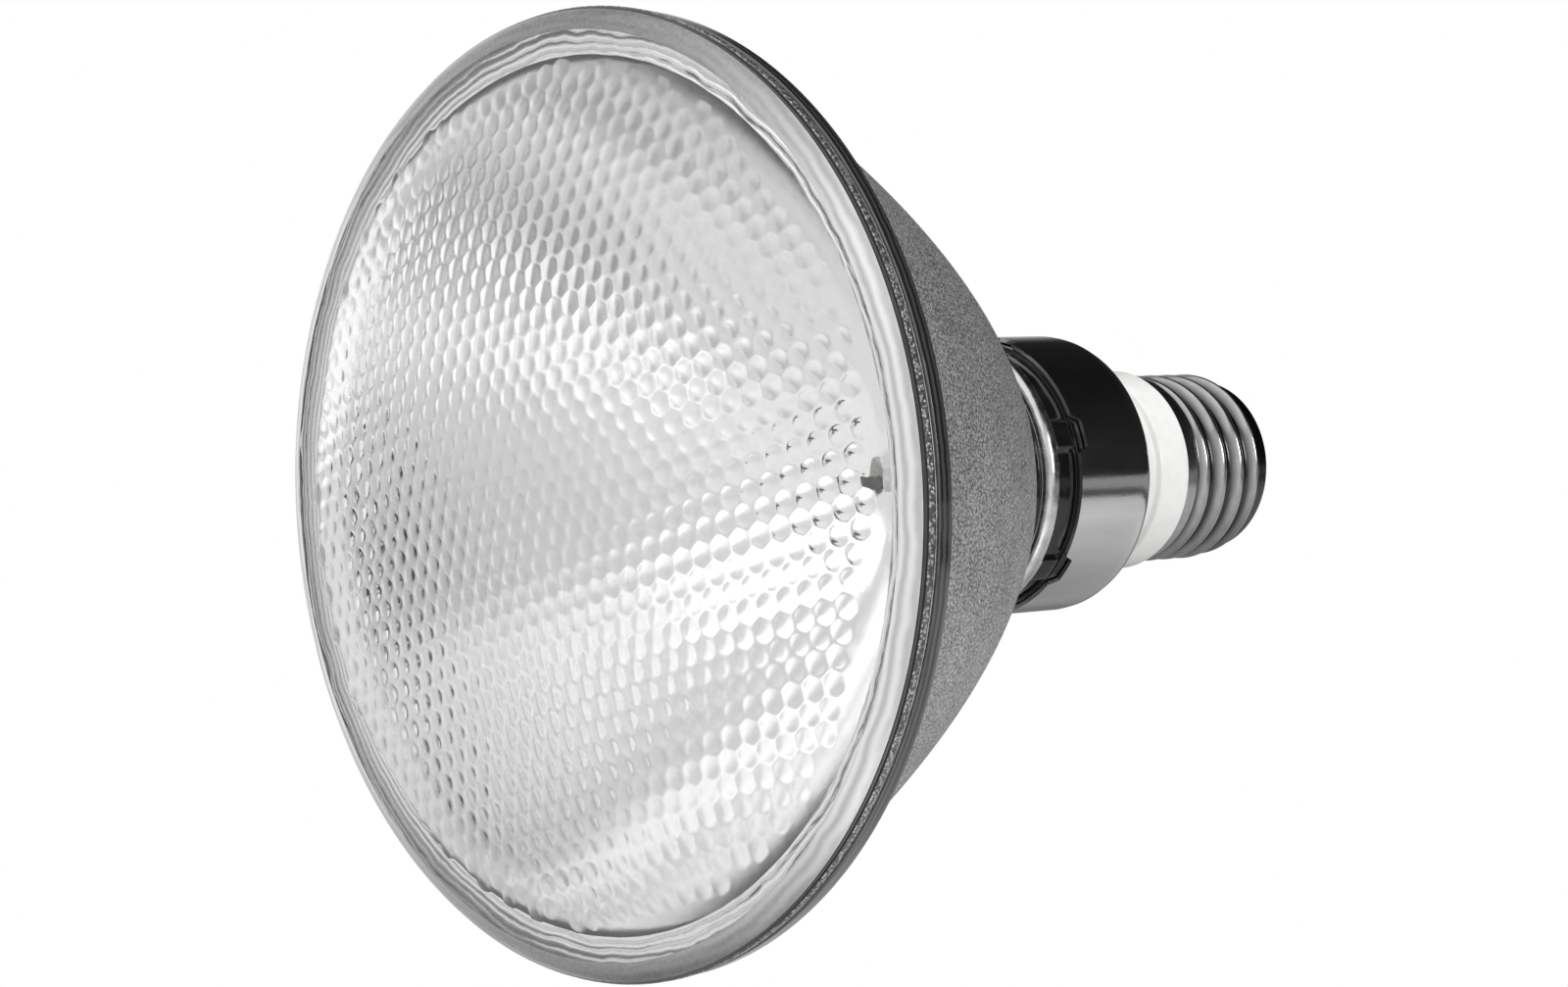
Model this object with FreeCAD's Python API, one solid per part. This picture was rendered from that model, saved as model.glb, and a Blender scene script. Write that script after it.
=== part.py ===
"""Par spotlight bulb: pressed-glass lens and reflector on a skirted screw cap.

The lamp's axis is the Y axis. The lens faces -Y and the cap points to +Y. The origin is on the axis,
in the plane of the open rim of the screw shell, which is where a lamp holder takes hold of the lamp.
Lengths are in millimetres.
"""
import FreeCAD, Part
import math
import os

V = FreeCAD.Vector

# Stations along the axis, from the cap to the lens
collar_visible = 11.6
skirt_length = 15.8
neck_visible = 10.1
bowl_depth = 55.7
rim_height = 6.4

# Rim of the lamp
rim_radius = 60.5
rim_corner = 3.0
seam_chamfer = 0.3
lens_rim_height = 3.6
band_taper = 0.45
band_corner = 1.0

# Lens
lens_dome_radius = 250.0
lens_crown_rise = 0.4
dimple_field_gap = 0.3
dimple_pitch = 3.09
dimple_rise = 0.5
dimple_row_angle = 16.7
lens_middle_thickness = 3.8

# Reflector bowl
band_ledge = 2.75
bowl_end_radius = 18.65
mouth_wall = 3.0
vertex_wall = 3.33
base_thickness = 4.2

# Neck and hub of the reflector
neck_radius = 17.9
neck_step_radius = 18.5
neck_step_length = 1.1
bead_radius = 19.2
bead_start = 3.5
bead_length = 2.7
bead_corner = 1.2
hub_length = 7.8
hub_wall = 3.4
lug_count = 6
lug_width = 4.4
lug_radius = 18.7
lug_angle = 20.0
lug_length = 5.0
cut_margin = 1.0

# Skirt
skirt_radius = 19.0
skirt_wall = 0.5
skirt_shoulder = 3.8
hub_clearance = 0.2
notch_clearance = 0.3
notch_depth = 1.6

# Ceramic collar
collar_radius = 13.95
collar_corner = 0.4
collar_groove_radius = 13.2
collar_land = 5.8
collar_register = 0.8
flange_gap = 0.1
collar_clearance = 0.15
nose_length = 11.0
nose_clearance = 0.25
collar_bore = 5.5
cement_width = 7.5

# Screw shell
thread_crest_radius = 13.2
thread_root_radius = 12.15
thread_pitch = 3.629
thread_turns = 4
thread_flank = 0.35
thread_root_width = 0.15
shell_collar = 3.4
shell_wall = 0.35
shell_shoulder = 2.2
shell_mouth_radius = 9.6
shell_bead = 0.9

# Contact end
insulator_length = 4.2
insulator_tip_radius = 5.6
insulator_lip = 1.0
insulator_gap = 0.2
contact_radius = 4.9
contact_thickness = 0.6
contact_gap = 0.1
contact_corner = 0.3
solder_radius = 2.4
solder_height = 1.1
contact_hole_radius = 0.9

# Filament and its leads
lead_spacing = 17.0
ferrule_radius = 2.6
ferrule_wall = 0.3
ferrule_front = 0.8
ferrule_back = 2.4
post_radius = 0.65
filament_radius = 0.9
filament_length = 11.0
filament_tail_radius = 0.3
exhaust_radius = 2.8
exhaust_bore = 1.5
exhaust_length = 7.0
exhaust_round = 2.2
solder_depth = 3.0
wire_radius = 0.4
wire_bend = 4.0
shell_wire_bend = 1.3
sleeve_wall = 0.45
sleeve_clearance = 0.05

# Stations worked out from the lengths above
skirt_end = -collar_visible
skirt_front = skirt_end - skirt_length
bowl_end = skirt_front - neck_visible
rim_back = bowl_end - bowl_depth
rim_front = rim_back - rim_height
seam = rim_front + lens_rim_height

# Radii at the mouth of the bowl, worked out inwards from the rim
bowl_mouth_radius = rim_radius - band_taper - band_ledge
mirror_mouth_radius = bowl_mouth_radius - mouth_wall
dimple_field_radius = mirror_mouth_radius - dimple_field_gap


def on_profile(r, y):
    """A point of a half section: distance from the axis and place along it."""
    return V(r, y, 0)


def rounded_path(corners):
    """Edges through corners (r, y, fillet radius); a corner with a radius becomes a tangent arc."""
    edges = []
    start = on_profile(*corners[0][:2])
    for i in range(1, len(corners)):
        corner = on_profile(*corners[i][:2])
        radius = corners[i][2]
        if i < len(corners) - 1 and radius > 0:
            before = (on_profile(*corners[i - 1][:2]) - corner).normalize()
            after = (on_profile(*corners[i + 1][:2]) - corner).normalize()
            half = before.getAngle(after) / 2
            setback = radius / math.tan(half)
            middle = (before + after).normalize() * (radius / math.sin(half) - radius)
            first = corner + before * setback
            last = corner + after * setback
            edges.append(Part.makeLine(start, first))
            edges.append(Part.Arc(first, corner + middle, last).toShape())
            start = last
        else:
            edges.append(Part.makeLine(start, corner))
            start = corner
    return edges


def revolved(edges):
    """Solid of revolution about the lamp's axis from a closed half section."""
    face = Part.Face(Part.Wire(Part.__sortEdges__(edges)))
    return face.revolve(V(0, 0, 0), V(0, 1, 0), 360)


def revolved_path(corners):
    """Solid of revolution of a closed path of corners."""
    return revolved(rounded_path(corners + [corners[0]]))


def parabola(vertex, focus, r_from, r_to):
    """Edge of the parabola r * r = 4 * focus * (vertex - y), which opens towards the lens."""
    scale = 4 * focus
    poles = [on_profile(r_from, vertex - r_from * r_from / scale)]
    poles.append(on_profile((r_from + r_to) / 2, vertex - r_from * r_to / scale))
    poles.append(on_profile(r_to, vertex - r_to * r_to / scale))
    curve = Part.BezierCurve()
    curve.setPoles(poles)
    return curve.toShape()


def around_axis(angle):
    """Unit vector square to the axis; 0 degrees is +X and 90 degrees is +Z."""
    return V(math.cos(math.radians(angle)), 0, math.sin(math.radians(angle)))


def save(name, shape):
    """Write one solid as the node's STEP file, and print what it measures."""
    shape.exportStep("parts/" + name + ".step")
    print(name, shape.isValid(), len(shape.Solids), len(shape.Faces), round(shape.Volume, 1))


# Lens: the tops of its bumps lie on a large sphere, which ends a little before the plain flat ring,
# and its inside is a smooth dome that ends in the seam plane
lens_dome_sag = lens_dome_radius - math.sqrt(lens_dome_radius ** 2 - dimple_field_radius ** 2)
lens_apex = rim_front - lens_crown_rise - lens_dome_sag
lens_inner_apex = lens_apex + lens_middle_thickness
inner_sag = seam - lens_inner_apex
lens_inner_radius = (dimple_field_radius ** 2 + inner_sag ** 2) / (2 * inner_sag)


def lens_front_height(r):
    """Place along the axis of the sphere that the bumps' tops reach, at a distance from the axis."""
    return lens_apex + lens_dome_radius - math.sqrt(lens_dome_radius ** 2 - r * r)


def dimple_field():
    """Facets of the bumps and the closed outline of the field, which lies in the plain ring's plane.

    Each bump is a six-sided pyramid on one cell of a hexagonal pack. Corners that would lie past
    the field's radius are drawn in to it, so the field ends in a near circle.
    """
    row = around_axis(dimple_row_angle)
    column = around_axis(dimple_row_angle + 60)
    reach = math.ceil(2 * dimple_field_radius / (math.sqrt(3) * dimple_pitch))
    corner_distance = dimple_pitch / math.sqrt(3)
    cells = []
    for i in range(-reach, reach + 1):
        for j in range(-reach, reach + 1):
            centre = row * (i * dimple_pitch) + column * (j * dimple_pitch)
            if centre.Length < dimple_field_radius - corner_distance / 2:
                cells.append(centre)

    def corner_key(point):
        return round(point.x, 3), round(point.z, 3)

    corners = {}
    sides = set()
    outlines = []
    for centre in cells:
        ring = []
        for k in range(6):
            corner = centre + around_axis(dimple_row_angle + 30 + 60 * k) * corner_distance
            if corner.Length > dimple_field_radius:
                corner = corner * (dimple_field_radius / corner.Length)
            ring.append(corner_key(corner))
            corners[ring[-1]] = V(corner.x, lens_front_height(corner.Length) + dimple_rise, corner.z)
        outlines.append(ring)
        sides.update((ring[k - 1], ring[k]) for k in range(6))
    border = {first: last for first, last in sides if (last, first) not in sides}
    for key in border:
        corners[key].y = rim_front
    facets = []
    for centre, ring in zip(cells, outlines):
        top = V(centre.x, lens_front_height(centre.Length), centre.z)
        for k in range(6):
            facets.append(Part.Face(Part.makePolygon([top, corners[ring[k - 1]], corners[ring[k]], top])))
    start = next(iter(border))
    outline = [corners[start]]
    key = border[start]
    while key != start:
        outline.append(corners[key])
        key = border[key]
    outline.append(corners[start])
    return facets, Part.makePolygon(outline)


def make_lens():
    """Pressed lens: rim and inside are revolved, and the bumps cover the front within a flat ring."""
    inner_middle = dimple_field_radius / 2
    inner_rise = lens_inner_radius - math.sqrt(lens_inner_radius ** 2 - inner_middle ** 2)
    inside = Part.Arc(on_profile(dimple_field_radius, seam),
                      on_profile(inner_middle, lens_inner_apex + inner_rise),
                      on_profile(0, lens_inner_apex)).toShape()
    ring_middle = (dimple_field_radius + rim_radius - rim_corner) / 2
    rim = rounded_path([(ring_middle, rim_front, 0), (rim_radius, rim_front, rim_corner),
                        (rim_radius, seam - seam_chamfer, 0), (rim_radius - seam_chamfer, seam, 0),
                        (dimple_field_radius, seam, 0)])
    skin = Part.Wire(rim + [inside]).revolve(V(0, 0, 0), V(0, 1, 0), 360)
    facets, outline = dimple_field()
    edge = Part.Wire(Part.makeCircle(ring_middle, V(0, rim_front, 0), V(0, 1, 0)))
    ring = Part.makeFace([edge, outline], "Part::FaceMakerBullseye")
    shell = Part.makeShell(skin.Faces + ring.Faces + facets)
    shell.sewShape()
    lens = Part.makeSolid(shell)
    if lens.Volume < 0:
        lens.reverse()
    return lens


# Reflector: the focal lengths follow from the radii at the mouth and at the neck, and from the wall
bowl_focus = (bowl_mouth_radius ** 2 - bowl_end_radius ** 2) / (4 * bowl_depth)
bowl_vertex = bowl_end + bowl_end_radius ** 2 / (4 * bowl_focus)
mirror_vertex = bowl_vertex - vertex_wall
mirror_focus = mirror_mouth_radius ** 2 / (4 * (mirror_vertex - rim_back))
base_back = mirror_vertex + base_thickness
hub_end = skirt_front + hub_length
hub_radius = skirt_radius - skirt_wall - hub_clearance


def make_reflector():
    """Pressed bowl with its rim band, clear neck with a bead, hub and keying lugs."""
    bead_front = bowl_end + bead_start
    bead_back = bead_front + bead_length
    outside = rounded_path([
        (mirror_mouth_radius, seam, 0), (rim_radius - seam_chamfer, seam, 0),
        (rim_radius, seam + seam_chamfer, 0), (rim_radius - band_taper, rim_back, band_corner),
        (bowl_mouth_radius, rim_back, 0)])
    bowl = parabola(bowl_vertex, bowl_focus, bowl_mouth_radius, bowl_end_radius)
    behind = rounded_path([
        (bowl_end_radius, bowl_end, 0), (neck_step_radius, bowl_end + neck_step_length, 0),
        (neck_radius, bowl_end + neck_step_length, 0), (neck_radius, bead_front, 0),
        (bead_radius, bead_front, bead_corner), (bead_radius, bead_back, bead_corner),
        (neck_radius, bead_back, 0), (neck_radius, skirt_front, 0), (hub_radius, skirt_front, 0),
        (hub_radius, hub_end, 0), (hub_radius - hub_wall, hub_end, 0), (hub_radius - hub_wall, base_back, 0),
        (0, base_back, 0)])
    axis = Part.makeLine(on_profile(0, base_back), on_profile(0, mirror_vertex))
    mirror = parabola(mirror_vertex, mirror_focus, 0, mirror_mouth_radius)
    mouth = Part.makeLine(on_profile(mirror_mouth_radius, rim_back), on_profile(mirror_mouth_radius, seam))
    body = revolved(outside + [bowl] + behind + [axis, mirror, mouth])
    lugs = []
    for k in range(lug_count):
        lugs.append(lug(k, lug_width, bead_back - bead_length / 2, lug_length, lug_radius))
    body = body.fuse(lugs).removeSplitter()
    holes = [base_hole(0, exhaust_bore)]
    for side in (-1, 1):
        holes.append(base_hole(side * lead_spacing / 2, ferrule_radius))
    return body.cut(holes)


def base_hole(x, radius):
    """Cylinder that cuts through the base, up to a margin past its back face."""
    length = 2 * base_thickness + cut_margin
    return Part.makeCylinder(radius, length, V(x, base_back + cut_margin - length, 0), V(0, 1, 0))


def lug(index, width, start, length, top_radius):
    """Block across the neck's wall that ends in a round top at a radius, for a lug or its notch."""
    foot = neck_radius - hub_wall / 2
    box = Part.makeBox(top_radius - foot + cut_margin, length, width)
    box.translate(V(foot, start, -width / 2))
    box.rotate(V(0, 0, 0), V(0, 1, 0), -(lug_angle + 360 / lug_count * index))
    limit = Part.makeCylinder(top_radius, length, V(0, start, 0), V(0, 1, 0))
    return box.common(limit)


def make_skirt():
    """Drawn cup with a round shoulder, a hole for the collar and edge notches for the lugs."""
    hole = collar_radius + collar_clearance
    inner = skirt_radius - skirt_wall
    cup = revolved_path([
        (inner, skirt_front, 0), (skirt_radius, skirt_front, 0), (skirt_radius, skirt_end, skirt_shoulder),
        (hole, skirt_end, 0), (hole, skirt_end - skirt_wall, 0),
        (inner, skirt_end - skirt_wall, skirt_shoulder - skirt_wall)])
    notches = []
    for k in range(lug_count):
        width = lug_width + 2 * notch_clearance
        notches.append(lug(k, width, skirt_front - notch_depth, 2 * notch_depth, skirt_radius + cut_margin))
    return cup.cut(notches)


flange_front = skirt_end - skirt_shoulder - flange_gap
nose_radius = thread_root_radius - shell_wall - nose_clearance


def make_collar():
    """Porcelain ring: flange inside the skirt, groove, visible land and a nose inside the shell."""
    flange_back = skirt_end - skirt_wall
    flange_radius = skirt_radius - skirt_shoulder - flange_gap
    return revolved_path([
        (collar_bore, flange_front, 0), (flange_radius, flange_front, 0),
        (flange_radius, flange_back, 0), (collar_radius, flange_back, 0),
        (collar_radius, flange_back + collar_register, 0),
        (collar_groove_radius, flange_back + collar_register, 0),
        (collar_groove_radius, -collar_land - collar_corner, 0), (collar_radius, -collar_land, 0),
        (collar_radius, 0, collar_corner), (nose_radius, 0, 0), (nose_radius, nose_length, 0),
        (collar_bore, nose_length, 0)])


# Screw shell: the thread stands here as round ridges of the same section and pitch
thread_start = shell_collar
thread_end = thread_start + thread_turns * thread_pitch
shell_end = thread_end + shell_shoulder


def ridge_corners(offset):
    """Corners of the ridges along the shell's wall, moved in by an offset for the inside."""
    crest = thread_crest_radius - offset
    root = thread_root_radius - offset
    corners = []
    for k in range(thread_turns):
        start = thread_start + k * thread_pitch
        corners.append((crest, start, 0))
        root_end = thread_flank + thread_root_width
        corners.append((root, start + thread_flank * thread_pitch, 0))
        corners.append((root, start + root_end * thread_pitch, 0))
        corners.append((crest, start + (root_end + thread_flank) * thread_pitch, 0))
    corners.append((crest, thread_end, 0))
    return corners


def make_screw_shell():
    """Rolled sheet shell: plain collar, ridges, and a shoulder that turns in to hold the insulator."""
    inner = thread_crest_radius - shell_wall
    outside = [(inner, 0, 0), (thread_crest_radius, 0, 0)] + ridge_corners(0)
    mouth = [(shell_mouth_radius + shell_bead, shell_end, 0), (shell_mouth_radius, shell_end, 0),
             (shell_mouth_radius, shell_end - shell_wall, 0),
             (shell_mouth_radius + shell_bead, shell_end - shell_wall, 0)]
    inside = ridge_corners(shell_wall)
    inside.reverse()
    return revolved_path(outside + mouth + inside)


insulator_end = shell_end + insulator_length
contact_floor = insulator_end - insulator_lip
contact_top = contact_floor + contact_thickness


def make_insulator():
    """Black glass button: fills the shell's mouth, and holds the contact in a shallow dish."""
    seat = contact_radius + contact_gap
    start = thread_end + insulator_gap
    lip_inside = shell_end - shell_wall
    return revolved_path([
        (contact_hole_radius, start, 0), (nose_radius, start, 0),
        (shell_mouth_radius + shell_bead, lip_inside, 0), (shell_mouth_radius, lip_inside, 0),
        (shell_mouth_radius, shell_end, 0), (insulator_tip_radius, insulator_end, 0),
        (seat, insulator_end, 0), (seat, contact_floor, 0), (contact_hole_radius, contact_floor, 0)])


def make_contact():
    """Brass disc with a rounded edge and a hole for the wire."""
    return revolved_path([
        (contact_hole_radius, contact_floor, 0), (contact_radius, contact_floor, 0),
        (contact_radius, contact_top, contact_corner), (contact_hole_radius, contact_top, 0)])


def make_contact_solder():
    """Dome of solder over the wire's end: a flat-bottomed cap of a sphere."""
    sphere = (solder_radius ** 2 + solder_height ** 2) / (2 * solder_height)
    half = math.asin(solder_radius / sphere) / 2
    centre = contact_top + solder_height - sphere
    shoulder = on_profile(sphere * math.sin(half), centre + sphere * math.cos(half))
    top = on_profile(0, contact_top + solder_height)
    rim = on_profile(solder_radius, contact_top)
    foot = on_profile(0, contact_top)
    dome = Part.Arc(top, shoulder, rim).toShape()
    return revolved([dome, Part.makeLine(rim, foot), Part.makeLine(foot, top)])


def make_cement():
    """Ring of basing cement between the hub's end, the skirt's wall and the collar's flange."""
    outer = skirt_radius - skirt_wall
    inner = outer - cement_width
    return revolved_path([(inner, hub_end, 0), (outer, hub_end, 0), (outer, flange_front, 0),
                          (inner, flange_front, 0)])


# Filament and leads
focus = mirror_vertex - mirror_focus
ferrule_end = base_back + ferrule_back
ferrule_outside = lead_spacing / 2 + ferrule_radius
ferrule_start = mirror_vertex - ferrule_outside ** 2 / (4 * mirror_focus) - ferrule_front


def moved(shape, x):
    """The same shape set beside the axis."""
    shape.translate(V(x, 0, 0))
    return shape


def make_ferrule(x):
    """Metal cup sealed through the base, closed at the front."""
    inner = ferrule_radius - ferrule_wall
    floor = ferrule_start + ferrule_wall
    return moved(revolved_path([
        (0, ferrule_start, 0), (ferrule_radius, ferrule_start, 0), (ferrule_radius, ferrule_end, 0),
        (inner, ferrule_end, 0), (inner, floor, 0), (0, floor, 0)]), x)


def make_ferrule_solder(x):
    """Solder that fills the bottom of a cup round the end of its wire."""
    inner = ferrule_radius - ferrule_wall
    start = ferrule_start + ferrule_wall
    end = start + solder_depth
    return moved(revolved_path([
        (0, start, 0), (inner, start, 0), (inner, end, 0), (wire_radius, end, 0),
        (wire_radius, end - solder_depth / 2, 0), (0, end - solder_depth / 2, 0)]), x)


def bent_wire(points, radius, bend):
    """Round wire through points: straight runs joined by tangent arcs."""
    edges = []
    start = points[0]
    for i in range(1, len(points) - 1):
        before = (points[i - 1] - points[i]).normalize()
        after = (points[i + 1] - points[i]).normalize()
        half = before.getAngle(after) / 2
        setback = bend / math.tan(half)
        middle = points[i] + (before + after).normalize() * (bend / math.sin(half) - bend)
        first = points[i] + before * setback
        last = points[i] + after * setback
        edges.append(Part.makeLine(start, first))
        edges.append(Part.Arc(first, middle, last).toShape())
        start = last
    edges.append(Part.makeLine(start, points[-1]))
    path = Part.Wire(edges)
    ring = Part.Wire(Part.makeCircle(radius, points[0], points[1] - points[0]))
    return path.makePipeShell([ring], True, False)


def make_post(side):
    """Nickel wire that stands on a ferrule and reaches to the filament's end."""
    top = focus - post_radius
    foot = V(side * lead_spacing / 2, top, 0)
    return Part.makeCylinder(post_radius, ferrule_start - top, foot, V(0, 1, 0))


def make_filament():
    """Tungsten coil as a bar of its outer size, with its two straight tails."""
    coil = Part.makeCylinder(filament_radius, filament_length, V(-filament_length / 2, focus, 0), V(1, 0, 0))
    reach = lead_spacing - 2 * post_radius
    tails = Part.makeCylinder(filament_tail_radius, reach, V(-reach / 2, focus, 0), V(1, 0, 0))
    return coil.fuse(tails).removeSplitter()


def make_exhaust_tip():
    """Pumping tube behind the base, melted shut to a round tip."""
    start = base_back
    end = start + exhaust_length
    return revolved_path([
        (exhaust_bore, start, 0), (exhaust_radius, start, 0), (exhaust_radius, end, exhaust_round),
        (0, end, 0), (0, end - exhaust_radius, 0), (exhaust_bore, end - exhaust_radius, 0)])


wire_start = ferrule_start + ferrule_wall + solder_depth / 2
contact_wire_turn = hub_end + 2 * wire_bend
contact_wire_points = [
    V(lead_spacing / 2, wire_start, 0), V(lead_spacing / 2, hub_end, 0), V(0, contact_wire_turn, 0),
    V(0, contact_top, 0)]


def make_sleeve():
    """Woven glass sleeve over the straight length of the contact wire."""
    inner = wire_radius + sleeve_clearance
    start = contact_wire_turn + wire_bend
    end = thread_end
    return revolved_path([(inner, start, 0), (inner + sleeve_wall, start, 0), (inner + sleeve_wall, end, 0),
                          (inner, end, 0)])


def make_shell_wire():
    """Lead from the other ferrule through the collar's bore and out over its nose to the shell."""
    x = -lead_spacing / 2
    bore_x = -(collar_bore - 2 * wire_radius)
    end = thread_start + (thread_turns - 1) * thread_pitch - wire_radius
    points = [V(x, wire_start, 0), V(x, hub_end, 0), V(bore_x, hub_end + wire_bend, 0), V(bore_x, end, 0),
              V(-(thread_crest_radius - shell_wall - wire_radius), end, 0)]
    return bent_wire(points, wire_radius, shell_wire_bend)


os.makedirs("parts", exist_ok=True)
save("lens", make_lens())
save("reflector", make_reflector())
save("skirt", make_skirt())
save("ceramic_collar", make_collar())
save("screw_shell", make_screw_shell())
save("tip_insulator", make_insulator())
save("centre_contact", make_contact())
save("contact_solder", make_contact_solder())
save("basing_cement", make_cement())
save("filament", make_filament())
save("exhaust_tip", make_exhaust_tip())
save("contact_wire", bent_wire(contact_wire_points, wire_radius, wire_bend))
save("wire_sleeve", make_sleeve())
save("shell_wire", make_shell_wire())
for name, side in (("left", -1), ("right", 1)):
    save("lead_post_" + name, make_post(side))
    save("ferrule_" + name, make_ferrule(side * lead_spacing / 2))
    save("ferrule_solder_" + name, make_ferrule_solder(side * lead_spacing / 2))
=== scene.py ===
"""Par spotlight bulb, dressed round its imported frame.

Lengths are given in millimetres and turned to metres where a mesh is made. The lamp's axis is the
Y axis, the lens faces -Y, and the origin lies in the plane of the screw shell's open rim.
"""

import math

import bmesh
import bpy
import numpy as np
from mathutils import Matrix, Vector


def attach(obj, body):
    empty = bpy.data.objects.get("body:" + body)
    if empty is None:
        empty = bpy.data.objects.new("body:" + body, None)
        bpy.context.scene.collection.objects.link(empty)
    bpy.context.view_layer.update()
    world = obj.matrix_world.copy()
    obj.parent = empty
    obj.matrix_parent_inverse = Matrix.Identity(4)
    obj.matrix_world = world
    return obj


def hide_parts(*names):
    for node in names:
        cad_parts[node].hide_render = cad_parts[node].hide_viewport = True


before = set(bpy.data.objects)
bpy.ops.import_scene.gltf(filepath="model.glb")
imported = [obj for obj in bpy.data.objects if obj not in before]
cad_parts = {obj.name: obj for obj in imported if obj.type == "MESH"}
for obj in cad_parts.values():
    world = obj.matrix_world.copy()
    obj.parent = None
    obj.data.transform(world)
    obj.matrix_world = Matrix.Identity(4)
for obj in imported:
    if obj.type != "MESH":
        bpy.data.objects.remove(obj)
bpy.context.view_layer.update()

# The photograph's view: a camera about half a metre away, level with the lamp, which looks at the
# lens from 47 degrees round. Its place was found from the rim's ellipse and the lamp's outline.
MM = 0.001
AIM = np.array([0.0, -98.6, 0.0])
TO_RIGHT, TO_TOP, AWAY = 25.5, 0.46, 463.6
view_azimuth = math.radians(47.2)
view_elevation = math.radians(3.29)
right = np.array([math.cos(view_azimuth), math.sin(view_azimuth), 0.0])
back = np.array([math.sin(view_azimuth) * math.cos(view_elevation),
                 -math.cos(view_azimuth) * math.cos(view_elevation), math.sin(view_elevation)])
up = np.cross(back, right)
camera_data = bpy.data.cameras.new("view")
camera_data.sensor_width = 36.0
camera_data.lens = 86.1
camera_data.clip_start = 0.01
camera = bpy.data.objects.new("view", camera_data)
camera_place = AIM + TO_RIGHT * right + TO_TOP * up + AWAY * back
camera.matrix_world = Matrix(np.vstack([np.column_stack([right, up, back, camera_place * MM]),
                                        [0.0, 0.0, 0.0, 1.0]]).tolist())
bpy.context.collection.objects.link(camera)
bpy.context.scene.camera = camera

# Reflector: a bowl pressed in hard borosilicate glass. Its inside is a paraboloid mirror of evaporated
# aluminium, its outside is stippled by the mould, and the neck with its bead and lugs stays clear.
SEAM, RIM_BACK, BOWL_END, SKIRT_FRONT = -96.0, -93.2, -37.5, -27.4
BEAD_FRONT, BEAD_BACK, HUB_BACK = -34.0, -31.3, -19.6
MOUTH, NECK_TOP, NECK, BEAD, HUB, HUB_INSIDE = 57.3, 18.65, 17.9, 19.2, 18.3, 14.9
MIRROR_MOUTH, FILM_EDGE, BAND, BAND_FRONT, BAND_BACK = 54.3, 59.9, 60.3, 60.0, 60.15
VERTEX_WALL, BASE_WALL = 3.33, 4.2
LUG_ANGLE, LUG_COUNT, LUG_RISE, LUG_MIDDLE = 20.0, 6, 0.8, -30.2
LUG_HALF_WIDTH, LUG_HALF_LENGTH, LUG_EDGE, LUG_RADIUS = 2.0, 2.4, 0.7, 18.0
LAMP_AROUND = 360
CLEAR_IOR = 1.474
FOCUS = (MOUTH ** 2 - NECK_TOP ** 2) / (4 * (BOWL_END - RIM_BACK))
BOWL_VERTEX = BOWL_END + NECK_TOP ** 2 / (4 * FOCUS)
MIRROR_VERTEX = BOWL_VERTEX - VERTEX_WALL
MIRROR_FOCUS = MIRROR_MOUTH ** 2 / (4 * (MIRROR_VERTEX - RIM_BACK))
BASE_BACK = MIRROR_VERTEX + BASE_WALL


def linear(code):
    """Linear colour of an sRGB hex value: each channel c becomes ((c + 0.055) / 1.055) ** 2.4."""
    channels = [int(code[i:i + 2], 16) / 255 for i in (0, 2, 4)]
    return [c / 12.92 if c <= 0.04045 else ((c + 0.055) / 1.055) ** 2.4 for c in channels] + [1.0]


def feed(node, inputs):
    """Set each named input of a node, or link it where the value is a socket or another node."""
    for key, value in inputs.items():
        if isinstance(value, bpy.types.Node):
            value = value.outputs[0]
        if isinstance(value, bpy.types.NodeSocket):
            node.id_data.links.new(value, node.inputs[key])
        else:
            node.inputs[key].default_value = value


def add(tree, kind, inputs, **settings):
    """Add a shader node of a kind with its settings, and set or link its inputs."""
    made = tree.nodes.new("ShaderNode" + kind)
    for key, value in settings.items():
        setattr(made, key, value)
    feed(made, inputs)
    return made


def finish_of(name, **sockets):
    """Start a material: its tree, its shader with the uniform values set on it, and the object's own
    coordinates, which every pattern reads."""
    made = bpy.data.materials.new(name)
    made.use_nodes = True
    shader = made.node_tree.nodes["Principled BSDF"]
    feed(shader, {key.replace("_", " "): value for key, value in sockets.items()})
    where = made.node_tree.nodes.new("ShaderNodeTexCoord")
    return made, made.node_tree, shader, where.outputs["Object"]


def rounded(corners, spacing=1.0, bend_points=7):
    """Half section through corners (r, y, fillet): straight runs, and a tangent arc at each fillet.

    An arc's centre lies on the corner's bisector at fillet / sin(half the angle); its tangent points
    lie at fillet / tan(half the angle) along the two runs.
    """
    points = np.array([c[:2] for c in corners], float)
    pieces = [points[:1]]
    last = points[0]
    for i in range(1, len(corners)):
        here = points[i]
        fillet = corners[i][2]
        if i < len(corners) - 1 and fillet > 0:
            before = (points[i - 1] - here) / np.linalg.norm(points[i - 1] - here)
            after = (points[i + 1] - here) / np.linalg.norm(points[i + 1] - here)
            half = math.acos(np.clip(before @ after, -1, 1)) / 2
            centre = here + (before + after) / np.linalg.norm(before + after) * fillet / math.sin(half)
            first = here + before * fillet / math.tan(half)
            final = here + after * fillet / math.tan(half)
            from_angle = math.atan2(*(first - centre)[::-1])
            turn = (math.atan2(*(final - centre)[::-1]) - from_angle + math.pi) % (2 * math.pi) - math.pi
            angles = from_angle + turn * np.linspace(0, 1, bend_points)
            bend = centre + fillet * np.column_stack([np.cos(angles), np.sin(angles)])
        else:
            first = here
            bend = here[None]
        steps = max(int(np.linalg.norm(first - last) / spacing), 1)
        pieces.append(last + (first - last) * np.linspace(0, 1, steps + 1)[1:-1, None])
        pieces.append(bend)
        last = bend[-1]
    return np.vstack(pieces)


def grid_quads(index):
    """Faces that join each point of a grid of indices with its three neighbours down and right."""
    return np.stack([index[:-1, :-1], index[:-1, 1:], index[1:, 1:], index[1:, :-1]], -1).reshape(-1, 4)


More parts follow.
